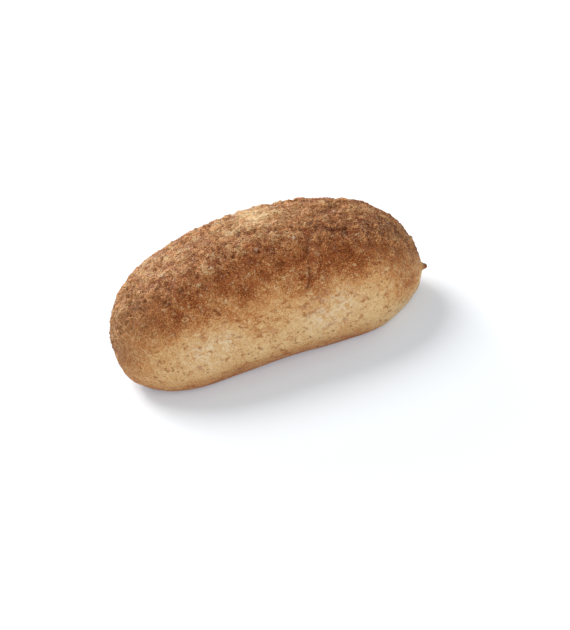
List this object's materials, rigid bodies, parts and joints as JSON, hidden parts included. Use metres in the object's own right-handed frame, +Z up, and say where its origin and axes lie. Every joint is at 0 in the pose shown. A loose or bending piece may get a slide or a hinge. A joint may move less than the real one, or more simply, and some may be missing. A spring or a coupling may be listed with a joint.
{
  "type": "bread roll",
  "caption": "Long oval wholemeal bread roll, baked in one piece, with a brown domed crust, pale flanks and a flat spot to rest on.",
  "frame": {"origin": "middle of the flat spot underneath, at the height of the surface that the roll stands on", "axes": "+X along the roll, +Y across it towards its plainer back, +Z up"},
  "size_m": [0.136, 0.0688, 0.0555],
  "materials": {
    "crust": null
  },
  "bodies": {
    "root": {"bread_roll": "crust"}
  },
  "joints": []
}
